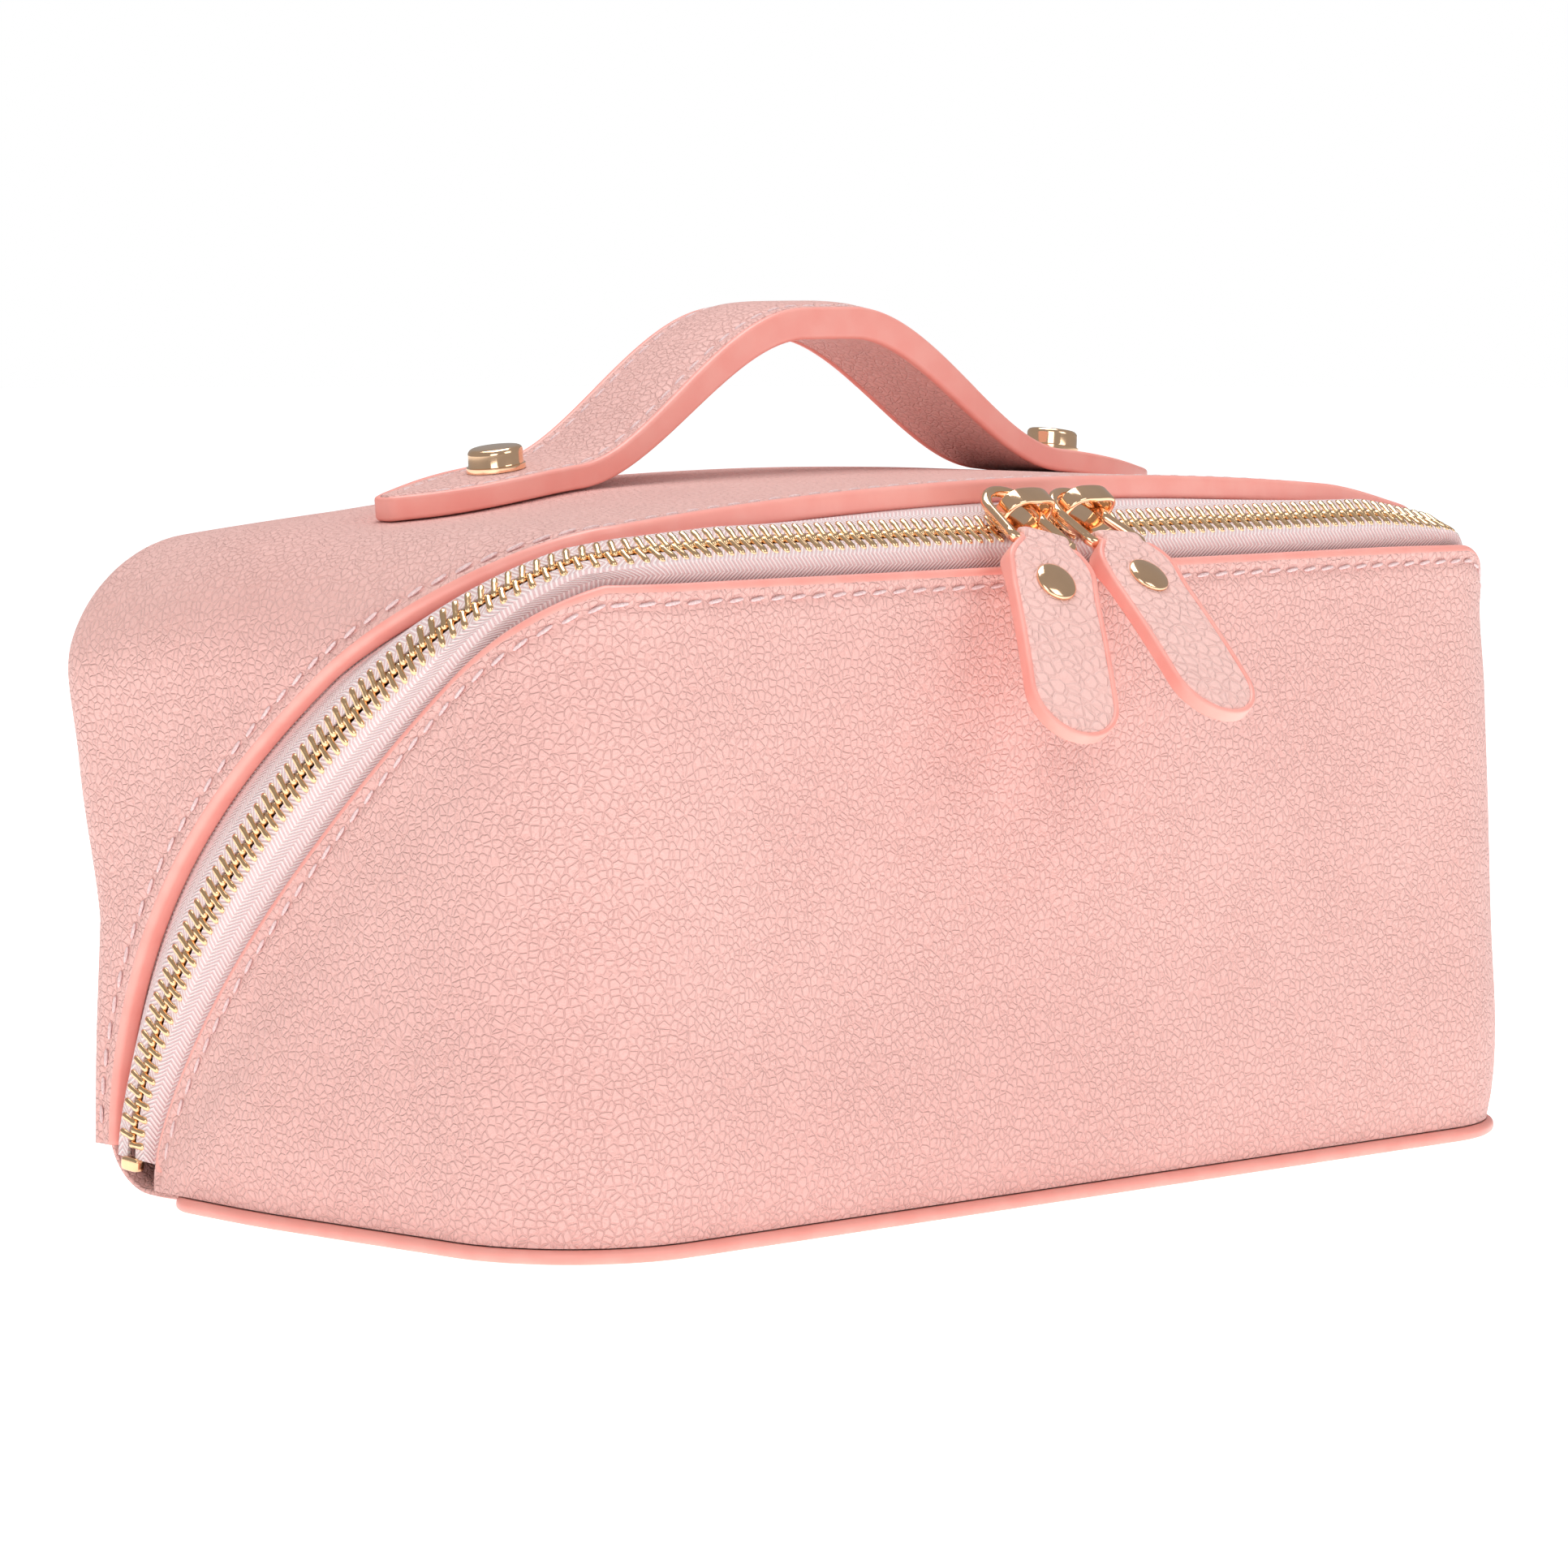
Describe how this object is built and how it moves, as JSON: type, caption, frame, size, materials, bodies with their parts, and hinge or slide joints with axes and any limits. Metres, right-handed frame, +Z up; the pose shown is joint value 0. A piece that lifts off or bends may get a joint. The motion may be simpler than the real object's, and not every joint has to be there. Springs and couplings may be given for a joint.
{
  "type": "makeup train case",
  "caption": "Soft pebbled-leather makeup case that opens flat: tray, hinged lid, two-way metal zip with leather pulls, and a riveted top handle.",
  "frame": {"origin": "on the ground under the middle of the leather body, on the underside of the base panel", "axes": "+X along the length to the right seen from the front, -Y towards the front with the zip pulls, +Z up"},
  "size_m": [0.248, 0.1592, 0.1494],
  "materials": {
    "leather": "pebbled grain, satin",
    "base_leather": "leather with a smooth painted edge",
    "twill": "woven twill zip tape",
    "lining": "plain woven lining",
    "board": "matte stiffening board",
    "gold": "polished light gold plating"
  },
  "bodies": {
    "tray": {"base_board": "board", "base_panel": "base_leather", "floor_lining": "lining", "hinge_strip": "leather", "tray_chain": "gold", "tray_lining": "lining", "tray_shell": "leather", "tray_zip_tape": "twill", "zip_stop_left": "gold", "zip_stop_right": "gold"},
    "lid": {"back_lining": "lining", "back_panel": "leather", "handle_rivet_left": "gold", "handle_rivet_right": "gold", "handle_strap": "leather", "handle_washer_left": "gold", "handle_washer_right": "gold", "lid_board": "board", "lid_chain": "gold", "lid_lining": "lining", "lid_shell": "leather", "lid_zip_tape": "twill"},
    "slider_left": {"slider_left": "gold"},
    "ring_left": {"pull_ring_left": "gold"},
    "tab_left": {"pull_tab_left": "leather", "tab_rivet_left": "gold"},
    "slider_right": {"slider_right": "gold"},
    "ring_right": {"pull_ring_right": "gold"},
    "tab_right": {"pull_tab_right": "leather", "tab_rivet_right": "gold"}
  },
  "joints": [
    {"name": "lid_hinge", "type": "hinge", "parent": "tray", "child": "lid", "pos_m": [0, 0.05842, 0.00258], "axis": [-1, 0, 0], "range_deg": [0, 90]},
    {"name": "slider_left_slide", "type": "slide", "parent": "tray", "child": "slider_left", "axis": [1, 0, 0], "range_m": [-0.06, 0]},
    {"name": "ring_left_lift", "type": "hinge", "parent": "slider_left", "child": "ring_left", "pos_m": [-0.014, -0.05789, 0.11679], "axis": [-0.9135, 0.3198, 0.2514], "range_deg": [0, 30]},
    {"name": "tab_left_fold", "type": "hinge", "parent": "ring_left", "child": "tab_left", "pos_m": [-0.01827, -0.06543, 0.11086], "axis": [-0.9135, 0.3198, 0.2514], "range_deg": [0, 75]},
    {"name": "slider_right_slide", "type": "slide", "parent": "tray", "child": "slider_right", "axis": [1, 0, 0], "range_m": [0, 0.073]},
    {"name": "ring_right_lift", "type": "hinge", "parent": "slider_right", "child": "ring_right", "pos_m": [0.001, -0.05789, 0.11679], "axis": [-0.9903, 0.1094, 0.086], "range_deg": [0, 30]},
    {"name": "tab_right_fold", "type": "hinge", "parent": "ring_right", "child": "tab_right", "pos_m": [-0.00046, -0.06606, 0.11036], "axis": [-0.9903, 0.1094, 0.086], "range_deg": [0, 75]}
  ]
}
